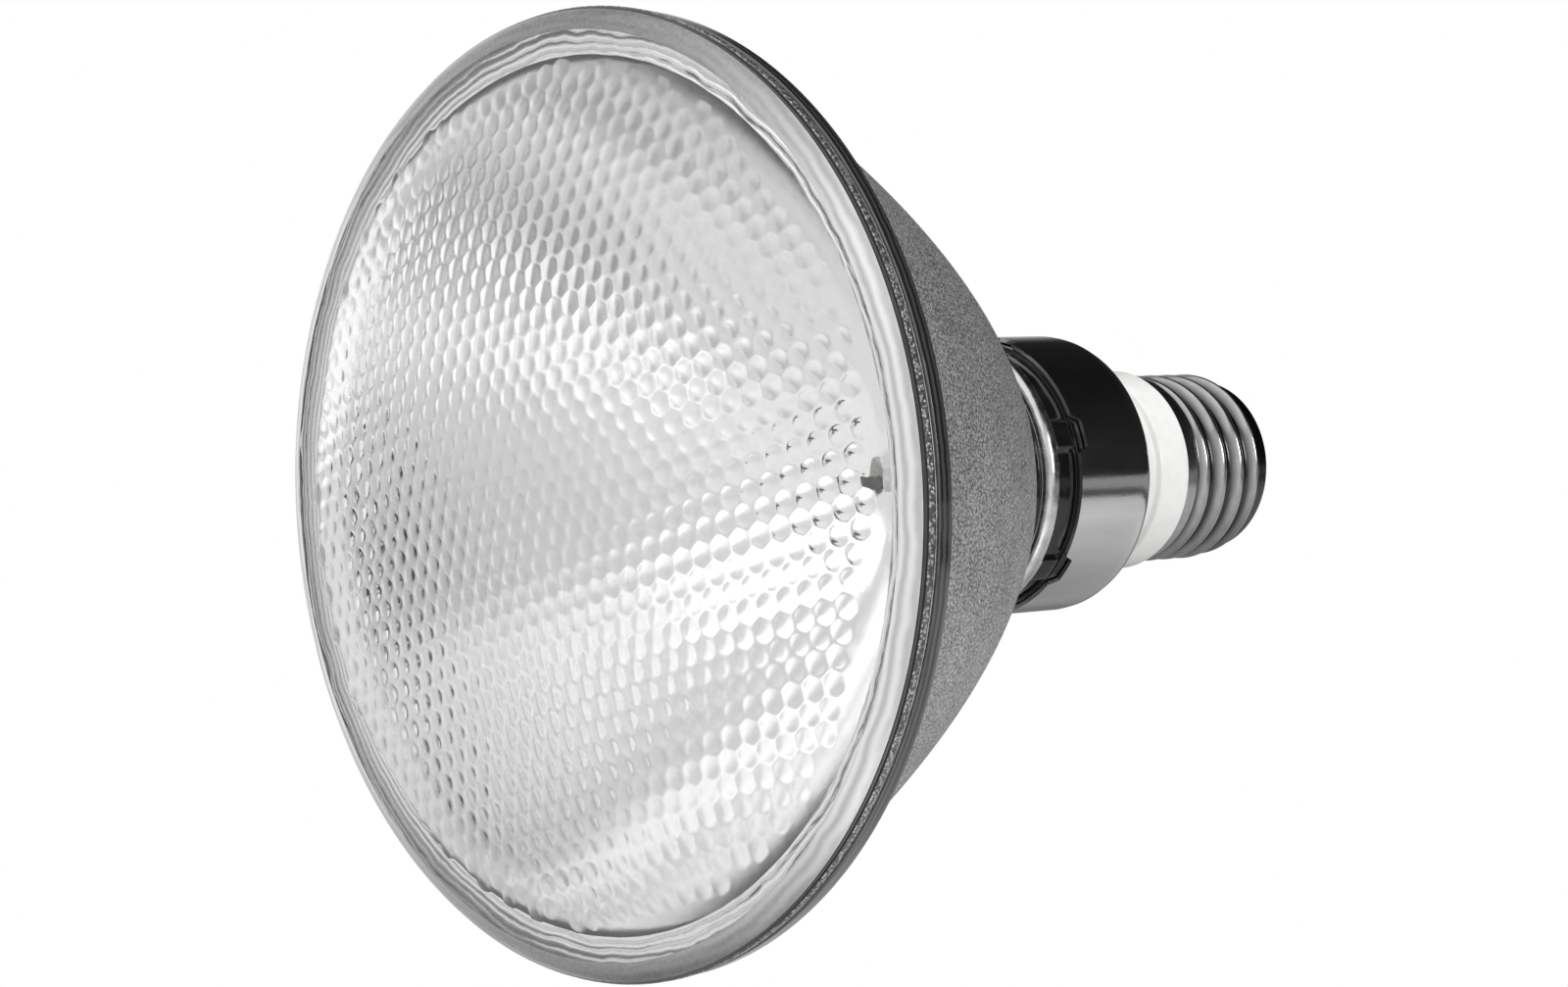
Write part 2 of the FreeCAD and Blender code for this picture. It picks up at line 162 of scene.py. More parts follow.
def surface(name, places, wrap_rows=False):
    """Object of a grid of places (rows, columns, 3) in millimetres: each face joins four neighbours, the
    last column is joined to the first, and so are the rows where asked. A row that shrinks to one point
    becomes a pole."""
    rows, columns = places.shape[:2]
    index = np.arange(rows * columns).reshape(rows, columns)
    if wrap_rows:
        index = np.vstack([index, index[:1]])
    index = np.hstack([index, index[:, :1]])
    return from_faces(name, places.reshape(-1, 3), grid_quads(index))


def from_faces(name, places, quads, smooth_angle=40.0):
    """Object of the given places in millimetres and its quads; doubles are merged, faces turned
    outwards, and only edges past the angle stay sharp. A quad that repeats a corner is a triangle."""
    mesh = bpy.data.meshes.new(name)
    kept = quads != np.roll(quads, -1, 1)
    triangles = kept.sum(1) == 3
    mesh.from_pydata((places * MM).tolist(), [], quads[kept.all(1)].tolist()
                     + quads[triangles][kept[triangles]].reshape(-1, 3).tolist())
    work = bmesh.new()
    work.from_mesh(mesh)
    bmesh.ops.remove_doubles(work, verts=work.verts, dist=0.2e-6)
    bmesh.ops.dissolve_degenerate(work, edges=work.edges, dist=0.1e-6)
    bmesh.ops.recalc_face_normals(work, faces=work.faces)
    work.to_mesh(mesh)
    work.free()
    mesh.shade_smooth()
    mesh.set_sharp_from_angle(angle=math.radians(smooth_angle))
    made = bpy.data.objects.new(name, mesh)
    bpy.context.collection.objects.link(made)
    return made


def round_axis(radius, along, t):
    """Places (r cos t, y, r sin t) for each radius and y, a row each, and each angle t, a column."""
    return np.stack([radius * np.cos(t), along + 0 * t, radius * np.sin(t)], -1)


def dress(piece, slot, *finishes):
    """Ride the piece on the lamp's one body and give it its materials. The slot is not used."""
    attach(piece, "root")
    for finish in finishes:
        piece.data.materials.append(finish)


def face_middles(mesh):
    """Distance from the axis and place along it of each face's middle, in millimetres."""
    middles = np.empty(len(mesh.polygons) * 3)
    mesh.polygons.foreach_get("center", middles)
    middles = middles.reshape(-1, 3) / MM
    return np.hypot(middles[:, 0], middles[:, 2]), middles[:, 1]


def eased(share):
    """Share held within 0 to 1 and eased at both ends: 3 s squared less 2 s cubed."""
    held = np.clip(share, 0, 1)
    return held * held * (3 - 2 * held)


def window(x, half_width, edge):
    """1 inside half_width of zero and 0 outside it, with an eased edge of the given width."""
    return eased((half_width + edge / 2 - np.abs(x)) / edge)


def angle_from(t, centre_degrees, count):
    """Angle from the nearest of count places spread evenly round the axis, in radians."""
    step = 2 * math.pi / count
    return (t - math.radians(centre_degrees) + step / 2) % step - step / 2


# Both faces of the bowl are parabolas: y is the vertex's less r squared over four times the focus.
parabola_r = np.linspace(MOUTH, NECK_TOP, 32)
bowl_outside = np.column_stack([parabola_r, BOWL_VERTEX - parabola_r ** 2 / (4 * FOCUS)])
mirror_r = np.linspace(0, MIRROR_MOUTH, 56)
mirror_inside = np.column_stack([mirror_r, MIRROR_VERTEX - mirror_r ** 2 / (4 * MIRROR_FOCUS)])
band = rounded([(BAND_FRONT, SEAM + 0.1, 0), (BAND, SEAM + 0.3, 0.15), (BAND_BACK, RIM_BACK, 0.9),
                (MOUTH + 0.4, RIM_BACK, 0.3)], 0.4)
neck = rounded([(NECK_TOP, BOWL_END + 0.05, 0), (18.5, BOWL_END + 1.1, 0.25),
                (NECK + 0.05, BOWL_END + 1.25, 0.1), (NECK, BEAD_FRONT, 0.15), (BEAD, BEAD_FRONT, 1.2),
                (BEAD, BEAD_BACK, 1.2), (NECK, BEAD_BACK, 0.15), (NECK, SKIRT_FRONT, 0.1),
                (HUB, SKIRT_FRONT + 0.1, 0.1), (HUB, HUB_BACK, 0.3), (HUB_INSIDE, HUB_BACK, 0.3),
                (HUB_INSIDE, BASE_BACK, 0.8), (2.0, BASE_BACK, 0), (0.0, BASE_BACK, 0)], 0.45)
seam_face = [[r, SEAM + 0.1] for r in (MIRROR_MOUTH, 55.7, 57.0, FILM_EDGE)]
reflector_section = np.vstack([band, bowl_outside, neck, mirror_inside, seam_face])
t = np.linspace(0, 2 * math.pi, LAMP_AROUND, endpoint=False)
radius = reflector_section[:, :1] + 0 * t
along = reflector_section[:, 1:] + 0 * t
# The six lugs lift the neck out of the round, by a window round the axis times one along it.
on_neck = ((along > LUG_MIDDLE - LUG_HALF_LENGTH - 0.4) & (along < SKIRT_FRONT - 0.2)
           & (radius > NECK - 0.4))
lug = (window(angle_from(t, LUG_ANGLE, LUG_COUNT) * LUG_RADIUS, LUG_HALF_WIDTH, LUG_EDGE)
       * window(along - LUG_MIDDLE, LUG_HALF_LENGTH, LUG_EDGE))
radius = np.where(on_neck, np.maximum(radius, NECK + LUG_RISE * lug), radius)
reflector = surface("reflector_glass", round_axis(radius, along, t), wrap_rows=True)

# Stippled glass over aluminium: the mould's fine grit breaks the mirror up into a sandy grey sheen.
GRIT = 0.34
stippled, tree, shader, place = finish_of("stippled_borosilicate_over_aluminium", Metallic=0.75,
                                          Coat_Weight=0.3, Coat_Roughness=0.35, Coat_IOR=CLEAR_IOR)
grit = add(tree, "TexNoise", {"Vector": place, "Scale": 1 / (GRIT * MM), "Detail": 1.5})
patches = add(tree, "TexNoise", {"Vector": place, "Scale": 1 / (9.0 * MM), "Detail": 2.0})
uneven = add(tree, "Math", {0: patches, 1: 0.12}, operation="MULTIPLY")
sandy = add(tree, "Math", {0: grit, 1: uneven})
share = add(tree, "MapRange", {"Value": sandy, "From Min": 0.44, "From Max": 0.7})
tone = add(tree, "Mix", {0: share, 6: linear("6c6c6c"), 7: linear("dedede")}, data_type="RGBA")
gloss = add(tree, "MapRange", {"Value": grit, "To Min": 0.45, "To Max": 0.65})
lift = add(tree, "Bump", {"Height": grit, "Distance": 0.3 * MM})
feed(shader, {"Base Color": tone.outputs[2], "Roughness": gloss, "Normal": lift})

# Evaporated aluminium on the inside: a clean mirror with the faintest cloud.
mirror, tree, shader, place = finish_of("evaporated_aluminium", Metallic=1.0)
cloud = add(tree, "TexNoise", {"Vector": place, "Scale": 1 / (14.0 * MM), "Detail": 3.0})
tone = add(tree, "Mix", {0: cloud, 6: linear("f0f0f0"), 7: linear("ffffff")}, data_type="RGBA")
gloss = add(tree, "MapRange", {"Value": cloud, "To Min": 0.1, "To Max": 0.2})
feed(shader, {"Base Color": tone.outputs[2], "Roughness": gloss})

# Clear pressed borosilicate: fire polished, with slow ripples left by the plunger.
clear, tree, shader, place = finish_of("clear_pressed_borosilicate", Transmission_Weight=1.0,
                                       IOR=CLEAR_IOR)
ripple = add(tree, "TexNoise", {"Vector": place, "Scale": 1 / (2.6 * MM), "Detail": 2.0})
tone = add(tree, "Mix", {0: ripple, 6: linear("f6f6f6"), 7: linear("ffffff")}, data_type="RGBA")
gloss = add(tree, "MapRange", {"Value": ripple, "To Min": 0.0, "To Max": 0.05})
lift = add(tree, "Bump", {"Height": ripple, "Distance": 0.03 * MM})
feed(shader, {"Base Color": tone.outputs[2], "Roughness": gloss, "Normal": lift})

# Band behind the seam: glass over the wrapped edge of the mirror, so it reads as dark polished glass.
RING_WAVE = 2 * math.pi / 20  # a wave texture repeats after this, over its scale
banded, tree, shader, place = finish_of("dark_edge_glass", Metallic=0.5, Coat_Weight=1.0,
                                        Coat_Roughness=0.06, Coat_IOR=CLEAR_IOR)
streak = add(tree, "TexWave", {"Vector": place, "Scale": RING_WAVE / (0.9 * MM),
                               "Distortion": 1.5, "Detail": 2.0}, bands_direction="Y")
tone = add(tree, "Mix", {0: streak, 6: linear("262626"), 7: linear("565656")}, data_type="RGBA")
gloss = add(tree, "MapRange", {"Value": streak, "To Min": 0.2, "To Max": 0.36})
feed(shader, {"Base Color": tone.outputs[2], "Roughness": gloss})

# Neck: clear glass with nothing bright behind it, painted as opaque near-black glass for that shade,
# with thin bright edges.
neck_glass, tree, shader, place = finish_of("dark_neck_glass", IOR=CLEAR_IOR)
draw = add(tree, "TexNoise", {"Vector": place, "Scale": 1 / (3.0 * MM), "Detail": 2.0})
tone = add(tree, "Mix", {0: draw, 6: linear("060606"), 7: linear("1c1c1c")}, data_type="RGBA")
gloss = add(tree, "MapRange", {"Value": draw, "To Min": 0.04, "To Max": 0.16})
lift = add(tree, "Bump", {"Height": draw, "Distance": 0.08 * MM})
feed(shader, {"Base Color": tone.outputs[2], "Roughness": gloss, "Normal": lift})

# Bead round the neck: the film inside the glass shines out through its bulge like a silver ring.
silvered, tree, shader, place = finish_of("silvered_bead_glass", Metallic=1.0, Coat_Weight=0.6,
                                          Coat_Roughness=0.05, Coat_IOR=CLEAR_IOR)
sheen = add(tree, "TexNoise", {"Vector": place, "Scale": 1 / (1.8 * MM), "Detail": 3.0})
tone = add(tree, "Mix", {0: sheen, 6: linear("9c9c9c"), 7: linear("f2f2f2")}, data_type="RGBA")
gloss = add(tree, "MapRange", {"Value": sheen, "To Min": 0.12, "To Max": 0.4})
lift = add(tree, "Bump", {"Height": sheen, "Distance": 0.05 * MM})
feed(shader, {"Base Color": tone.outputs[2], "Roughness": gloss, "Normal": lift})

# Fused seam: the two edges are flamed together, which leaves a beaded, speckled line of glass.
fused, tree, shader, place = finish_of("flame_fused_glass", Metallic=0.5, Coat_Weight=0.6,
                                       Coat_Roughness=0.15)
beads = add(tree, "TexVoronoi", {"Vector": place, "Scale": 1 / (0.42 * MM)})
share = add(tree, "MapRange", {"Value": beads, "From Min": 0.1, "From Max": 0.6})
tone = add(tree, "Mix", {0: share, 6: linear("c4c4c4"), 7: linear("4a4a4a")}, data_type="RGBA")
gloss = add(tree, "MapRange", {"Value": beads, "To Min": 0.2, "To Max": 0.5})
lift = add(tree, "Bump", {"Height": beads, "Distance": -0.12 * MM})
feed(shader, {"Base Color": tone.outputs[2], "Roughness": gloss, "Normal": lift})

# Flange under the lens's flat ring: the film runs out over it, worn into fine rings by the press.
ringed, tree, shader, place = finish_of("aluminised_flange", Metallic=1.0)
ring_lines = add(tree, "TexWave", {"Vector": place, "Scale": RING_WAVE / (1.1 * MM),
                                   "Distortion": 6.0, "Detail": 3.0, "Detail Scale": 0.4},
                 wave_type="RINGS", rings_direction="Y")
share = add(tree, "MapRange", {"Value": ring_lines, "From Min": 0.35, "From Max": 0.65})
tone = add(tree, "Mix", {0: share, 6: linear("d4d4d4"), 7: linear("fdfdfd")}, data_type="RGBA")
gloss = add(tree, "MapRange", {"Value": ring_lines, "To Min": 0.12, "To Max": 0.4})
lift = add(tree, "Bump", {"Height": ring_lines, "Distance": 0.12 * MM})
feed(shader, {"Base Color": tone.outputs[2], "Roughness": gloss, "Normal": lift})

# Each face takes its finish by where its middle lies: outside, mirror, neck, band, seam, flange, bead.
dress(reflector, "aluminised_glass", stippled, mirror, neck_glass, banded, fused, ringed, silvered)
middle_r, middle_y = face_middles(reflector.data)
mirror_limit = MIRROR_VERTEX - middle_r ** 2 / (4 * MIRROR_FOCUS) + 0.3
zone = np.zeros(len(middle_r), int)
zone[middle_y > BOWL_END + 0.05] = 2
zone[(middle_y < mirror_limit) & (middle_r < MIRROR_MOUTH + 0.05)] = 1
zone[(middle_r > MOUTH - 0.1) & (middle_y > SEAM + 0.15) & (middle_y < RIM_BACK + 0.05)] = 3
zone[(middle_r > FILM_EDGE) & (middle_y < SEAM + 0.15)] = 4
zone[(middle_r < FILM_EDGE) & (middle_y < SEAM + 0.2)] = 5
zone[(middle_r < BEAD + 0.1) & (middle_r > NECK + 0.05) & (middle_y > BEAD_FRONT - 0.05)
     & (middle_y < BEAD_BACK + 0.05)] = 6
reflector.data.polygons.foreach_set("material_index", zone)
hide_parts("reflector")

# Ferrules: iron-nickel cups that are sealed through the bowl's base, with a nickel post brazed on each.
# They carry the current through the glass and hold the filament at the mirror's focus. The drawn posts
# give a warm grey gleam in fine lengthwise lines.
drawn_nickel, tree, shader, place = finish_of("drawn_nickel", Metallic=1.0)
stretched = add(tree, "Mapping", {"Vector": place, "Scale": (1.0, 0.08, 1.0)})
draw_lines = add(tree, "TexNoise", {"Vector": stretched, "Scale": 1 / (0.25 * MM), "Detail": 2.0})
tone = add(tree, "Mix", {0: draw_lines, 6: linear("b4b2ae"), 7: linear("e2e0dc")}, data_type="RGBA")
gloss = add(tree, "MapRange", {"Value": draw_lines, "To Min": 0.2, "To Max": 0.4})
feed(shader, {"Base Color": tone.outputs[2], "Roughness": gloss})
# Sealing alloy: the oxide that bonds it to the glass leaves it a dull, cloudy grey.
sealing_alloy, tree, shader, place = finish_of("sealing_alloy", Metallic=1.0)
oxide = add(tree, "TexNoise", {"Vector": place, "Scale": 1 / (1.2 * MM), "Detail": 3.0})
tone = add(tree, "Mix", {0: oxide, 6: linear("989692"), 7: linear("c8c6c2")}, data_type="RGBA")
gloss = add(tree, "MapRange", {"Value": oxide, "To Min": 0.3, "To Max": 0.55})
feed(shader, {"Base Color": tone.outputs[2], "Roughness": gloss})
# Tin solder: cooled in the air, so it is a cool bright grey with a frosted skin.
tin_solder, tree, shader, place = finish_of("tin_solder", Metallic=1.0)
frost = add(tree, "TexNoise", {"Vector": place, "Scale": 1 / (0.7 * MM), "Detail": 3.0})
tone = add(tree, "Mix", {0: frost, 6: linear("a2a3a5"), 7: linear("cdced0")}, data_type="RGBA")
gloss = add(tree, "MapRange", {"Value": frost, "To Min": 0.18, "To Max": 0.42})
lift = add(tree, "Bump", {"Height": frost, "Distance": 0.05 * MM})
feed(shader, {"Base Color": tone.outputs[2], "Roughness": gloss, "Normal": lift})


def cover(finish, *nodes):
    """Give carried-over nodes of the frame a material in every slot."""
    for node in nodes:
        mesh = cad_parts[node].data
        mesh.materials.clear()
        mesh.materials.append(finish)


cover(drawn_nickel, "lead_post_left", "lead_post_right")
cover(sealing_alloy, "ferrule_left", "ferrule_right")
cover(tin_solder, "ferrule_solder_left", "ferrule_solder_right")

# Filament: drawn tungsten wire coiled on a mandrel, welded to the two posts by its straight tails.
# The coil lies across the lamp at the mirror's focus.
COIL_LENGTH, COIL_RADIUS, COIL_TURNS, COIL_WIRE = 11.0, 0.76, 26, 0.13
LEADS_APART, POST_RADIUS = 17.0, 0.65
POST_APART = LEADS_APART - 2 * POST_RADIUS
STEPS_A_TURN, WIRE_SIDES = 20, 8
focus_y = MIRROR_VERTEX - MIRROR_FOCUS
# A helix: y and z are the cosine and sine of the turn at the coil's radius, which grows from the axis
# over the first turn and shrinks back over the last. The wire is a ring of points square to that path.
steps = np.linspace(0, 1, COIL_TURNS * STEPS_A_TURN + 1)
turn = 2 * math.pi * COIL_TURNS * steps
ramp_in = np.clip(np.minimum(steps, 1 - steps) * COIL_TURNS, 0, 1)
coil = np.column_stack([(steps - 0.5) * COIL_LENGTH, COIL_RADIUS * ramp_in * np.cos(turn),
                        COIL_RADIUS * ramp_in * np.sin(turn)])
coil = np.vstack([[-POST_APART / 2, 0, 0], coil, [POST_APART / 2, 0, 0]]) + [0, focus_y, 0]
forward = np.gradient(coil, axis=0)
forward /= np.linalg.norm(forward, axis=1)[:, None]
side = np.cross(forward, [0.0, 0.3, 1.0])
side /= np.linalg.norm(side, axis=1)[:, None]
other = np.cross(forward, side)
ring = np.linspace(0, 2 * math.pi, WIRE_SIDES, endpoint=False)[None, :, None]
tube = coil[:, None] + COIL_WIRE * (side[:, None] * np.cos(ring) + other[:, None] * np.sin(ring))
tube = np.concatenate([np.repeat(coil[:1, None], WIRE_SIDES, 1), tube,
                       np.repeat(coil[-1:, None], WIRE_SIDES, 1)])
filament = surface("filament_coil", tube)
# Drawn tungsten: a dark grey metal, softly glossy, with faint lines from the die.
tungsten, tree, shader, place = finish_of("drawn_tungsten", Metallic=1.0)
wire_lines = add(tree, "TexNoise", {"Vector": place, "Scale": 1 / (0.3 * MM), "Detail": 2.0})
tone = add(tree, "Mix", {0: wire_lines, 6: linear("4c4c4e"), 7: linear("77777a")}, data_type="RGBA")
gloss = add(tree, "MapRange", {"Value": wire_lines, "To Min": 0.25, "To Max": 0.45})
feed(shader, {"Base Color": tone.outputs[2], "Roughness": gloss})
dress(filament, "tungsten", tungsten)
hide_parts("filament")

# Lens: pressed borosilicate, gently domed, with a plain ring and a rolled edge. Its front is a close
# pack of low round bumps, which spread the beam, its inside is smooth, and its rim is flamed to the
# bowl's.
RIM_FRONT, RIM_OUTSIDE, RIM_ROLL = -99.6, 60.45, 3.0
FIELD_RADIUS, RING_INNER, DOME_RADIUS, LENS_MIDDLE = 54.0, 54.3, 250.0, 3.8
RING_FRONT, DOME_FRONT, LENS_BACK = RIM_FRONT - 0.1, RIM_FRONT - 0.4, SEAM - 0.05
BEADING, BEADING_BACK, BEADING_FRONT, ROLL_BACK = 60.4, -96.55, -97.45, -98.08
BUMP_PITCH, BUMP_RISE, BUMP_RADIUS, BUMP_ROWS = 3.09, 0.27, 1.54, math.radians(16.7)
BUMP_CORNER = BUMP_PITCH / math.sqrt(3)
BUMP_FADE, ROWS_EACH_WAY = 0.6, 24
dome_apex = DOME_FRONT - (DOME_RADIUS - math.sqrt(DOME_RADIUS ** 2 - FIELD_RADIUS ** 2))
inner_apex = dome_apex + LENS_MIDDLE
inner_sag = LENS_BACK - inner_apex
inner_radius = (FIELD_RADIUS ** 2 + inner_sag ** 2) / (2 * inner_sag)


def bump_patch(sides=18, steps=(0.4, 0.75, 1.0)):
    """Points of one bump and its six-sided surround, and the faces between them.

    Rings of points lie at the given shares of the bump's radius, and the last ring lies on the
    hexagon, at corner distance * cos 30 / cos(angle from the middle of its side). The bump is a cap
    of height sqrt(ball * ball - d * d) less its value at the bump's edge, and flat outside it.
    """
    turn = 2 * math.pi * (np.arange(sides) + 0.5) / sides
    from_side = (turn + math.pi / 6) % (math.pi / 3) - math.pi / 6
    hexagon = BUMP_CORNER * math.cos(math.pi / 6) / np.cos(from_side)
    reach = np.vstack([np.outer(steps, np.full(sides, BUMP_RADIUS)), hexagon])
    x = np.append(0, (reach * np.cos(turn + BUMP_ROWS)).ravel())
    z = np.append(0, (reach * np.sin(turn + BUMP_ROWS)).ravel())
    ball = (BUMP_RADIUS ** 2 + BUMP_RISE ** 2) / (2 * BUMP_RISE)
    inside = np.minimum(x * x + z * z, BUMP_RADIUS ** 2)
    height = np.sqrt(ball ** 2 - inside) - (ball - BUMP_RISE)
    index = 1 + np.arange(len(reach) * sides).reshape(-1, sides)
    index = np.hstack([index, index[:, :1]])
    fan = np.stack([0 * index[0, 1:], index[0, :-1], index[0, 1:], index[0, 1:]], -1)
    bands = np.stack([index[:-1, :-1], index[1:, :-1], index[1:, 1:], index[:-1, 1:]], -1).reshape(-1, 4)
    return x, z, height, np.vstack([fan, bands])


# The bumps' centres are whole numbers of steps along two rows 60 degrees apart. The front is a sphere
# through the field's edge: y is its apex plus its radius less the root of radius squared less r squared.
patch_x, patch_z, patch_height, patch_faces = bump_patch()
row = BUMP_PITCH * np.array([math.cos(BUMP_ROWS), math.sin(BUMP_ROWS)])
column = BUMP_PITCH * np.array([math.cos(BUMP_ROWS + math.pi / 3), math.sin(BUMP_ROWS + math.pi / 3)])
count = np.arange(-ROWS_EACH_WAY, ROWS_EACH_WAY + 1)
centres = (count[:, None, None] * row + count[None, :, None] * column).reshape(-1, 2)
centres = centres[np.hypot(*centres.T) < FIELD_RADIUS - BUMP_CORNER / 3]
field_x = (centres[:, :1] + patch_x).ravel()
field_z = (centres[:, 1:] + patch_z).ravel()
# Patches that pass the field's edge are drawn in to it, and there the bumps die out.
beyond = np.maximum(np.hypot(field_x, field_z) / FIELD_RADIUS, 1)
field_x, field_z = field_x / beyond, field_z / beyond
field_r = np.hypot(field_x, field_z)
edge_fade = np.clip((FIELD_RADIUS - field_r) / BUMP_FADE, 0, 1)
lift_y = np.tile(patch_height, len(centres)) * edge_fade
front_y = dome_apex + DOME_RADIUS - np.sqrt(DOME_RADIUS ** 2 - field_r ** 2) + BUMP_RISE - lift_y
field_faces = (patch_faces + len(patch_x) * np.arange(len(centres))[:, None, None]).reshape(-1, 4)
# Neighbouring patches share the points of their common side, and the outline is the sides left single.
shared, same = np.unique(np.round(np.stack([field_x, field_z], -1), 4), axis=0, return_inverse=True)
places = np.empty((len(shared), 3))
places[same.ravel()] = np.stack([field_x, front_y, field_z], -1)
quads = same.ravel()[field_faces]
sides = np.sort(np.stack([quads, np.roll(quads, -1, 1)], -1).reshape(-1, 2), 1)
sides, times = np.unique(sides[sides[:, 0] != sides[:, 1]], axis=0, return_counts=True)
edge = np.unique(sides[times == 1])
edge = edge[np.argsort(np.arctan2(places[edge, 2], places[edge, 0]))]
edge_turn = np.arctan2(places[edge, 2], places[edge, 0])
# From the outline the rest is turned: ring, rolled edge (an arc of a circle), beading, smooth inside.
inner_r = np.linspace(FIELD_RADIUS, 0, 9)
inner_y = inner_apex + inner_radius - np.sqrt(inner_radius ** 2 - inner_r ** 2)
beading = rounded([(FIELD_RADIUS + 1.0, LENS_BACK, 0), (60.0, LENS_BACK, 0.05), (60.0, -96.45, 0.08),
                   (BEADING, BEADING_BACK, 0.15), (BEADING, BEADING_FRONT, 0.15), (59.95, -97.55, 0.06),
                   (59.95, -97.75, 0.06), (60.2, -97.85, 0.05), (60.2, -97.98, 0.05),
                   (59.85, ROLL_BACK, 0)], 3.0, 2)[1:]
roll = np.radians(np.linspace(31, 90, 10))
rolled_edge = np.column_stack([RIM_OUTSIDE - RIM_ROLL * (1 - np.cos(roll)),
                               RIM_FRONT + RIM_ROLL * (1 - np.sin(roll))])
ring_front = [[RING_INNER + 1.5, RING_FRONT + 0.05], [RING_INNER, RING_FRONT]]
lens_section = np.vstack([np.vstack([beading, rolled_edge, ring_front])[::-1],
                          np.column_stack([inner_r, inner_y])])
rings = round_axis(lens_section[:, :1], lens_section[:, 1:], edge_turn)
ring_index = len(places) + np.arange(rings.shape[0] * rings.shape[1]).reshape(rings.shape[:2])
ring_index = np.vstack([edge[None], ring_index])
ring_index = np.hstack([ring_index, ring_index[:, :1]])
lens = from_faces("dimpled_lens", np.vstack([places, rings.reshape(-1, 3)]),
                  np.vstack([quads, grid_quads(ring_index)]), smooth_angle=20.0)

# Rolled edge: flamed glass over the film's edge, drawn into fine rings, and greyer above and below
# by painted shade.
PAINTED_SHADE_FROM, PAINTED_SHADE_TO = 32.0, 60.0
rolled, tree, shader, place = finish_of("flamed_edge_over_aluminium", Metallic=0.3, Coat_Weight=0.4,
                                        Coat_Roughness=0.08, Coat_IOR=CLEAR_IOR)
rings_drawn = add(tree, "TexWave", {"Vector": place, "Scale": RING_WAVE / (1.3 * MM),
                                    "Distortion": 5.0, "Detail": 3.0, "Detail Scale": 0.4},
                  wave_type="RINGS", rings_direction="Y")
specks = add(tree, "TexNoise", {"Vector": place, "Scale": 1 / (0.5 * MM), "Detail": 2.0})
# Painted shade: darker, speckled grey towards the edge's top and bottom, by height from the middle.
level = add(tree, "SeparateXYZ", {"Vector": place})
from_middle = add(tree, "Math", {0: level.outputs["Z"]}, operation="ABSOLUTE")
painted_shade_share = add(tree, "MapRange", {"Value": from_middle, "From Min": PAINTED_SHADE_FROM * MM,
                               "From Max": PAINTED_SHADE_TO * MM})
light = add(tree, "Mix", {0: rings_drawn, 6: linear("b4b4b4"), 7: linear("dadada")}, data_type="RGBA")
painted_shade_tone = add(tree, "Mix", {0: specks, 6: linear("464646"), 7: linear("929292")}, data_type="RGBA")
tone = add(tree, "Mix", {0: painted_shade_share, 6: light.outputs[2], 7: painted_shade_tone.outputs[2]}, data_type="RGBA")
gloss = add(tree, "MapRange", {"Value": rings_drawn, "To Min": 0.22, "To Max": 0.42})
lift = add(tree, "Bump", {"Height": rings_drawn, "Distance": 0.03 * MM})
# Seen from inside, the edge glows with the light that real glass would let in through it.
facing = add(tree, "NewGeometry", {})
glow = add(tree, "Math", {0: facing.outputs["Backfacing"], 1: 0.75}, operation="MULTIPLY")
feed(shader, {"Base Color": tone.outputs[2], "Roughness": gloss, "Normal": lift,
              "Emission Color": tone.outputs[2], "Emission Strength": glow})
# By each face's middle again: clear glass, the dark band, the fused beading and the rolled edge.
dress(lens, "pressed_glass", clear, banded, fused, rolled)
middle_r, middle_y = face_middles(lens.data)
zone = np.zeros(len(middle_r), int)
zone[middle_r > RIM_OUTSIDE - RIM_ROLL] = 3
zone[(middle_r > 59.3) & (middle_y > ROLL_BACK - 0.07)] = 1
zone[(middle_r > BEADING - 0.25) & (middle_y > BEADING_FRONT - 0.05)
     & (middle_y < BEADING_BACK + 0.05)] = 2
lens.data.polygons.foreach_set("material_index", zone)
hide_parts("lens")

# Skirt: a cup drawn from thin aluminium and polished, with a round shoulder. It is cemented over the
# bowl's hub, and notches in its front edge fit round the glass lugs so that it can't turn.
SKIRT, SKIRT_MOUTH, SKIRT_END, SKIRT_WALL, SHOULDER = 19.0, 14.1, -11.6, 0.5, 3.8
NOTCH_DEPTH, NOTCH_HALF_WIDTH, NOTCH_EDGE, NOTCH_REACH = 1.6, 2.25, 1.0, 3.5
skirt_inside, end_inside = SKIRT - SKIRT_WALL, SKIRT_END - SKIRT_WALL
outer_run = rounded([(SKIRT, SKIRT_FRONT, 0), (SKIRT, SKIRT_END, SHOULDER), (SKIRT_MOUTH, SKIRT_END, 0)],
                    0.5)
inner_run = rounded([(SKIRT_MOUTH, end_inside, 0), (skirt_inside, end_inside, SHOULDER - SKIRT_WALL),
                     (skirt_inside, SKIRT_FRONT, 0)], 0.5)
skirt_section = np.vstack([outer_run, inner_run])
t = np.linspace(0, 2 * math.pi, 720, endpoint=False)
# A notch pushes the edge back by a window round the axis, less and less up to its reach.
notch = NOTCH_DEPTH * window(angle_from(t, LUG_ANGLE, LUG_COUNT) * SKIRT, NOTCH_HALF_WIDTH, NOTCH_EDGE)
front_share = np.clip((SKIRT_FRONT + NOTCH_REACH - skirt_section[:, 1:]) / NOTCH_REACH, 0, 1)
along = skirt_section[:, 1:] + front_share * notch
skirt = surface("drawn_skirt", round_axis(skirt_section[:, :1], along, t), wrap_rows=True)
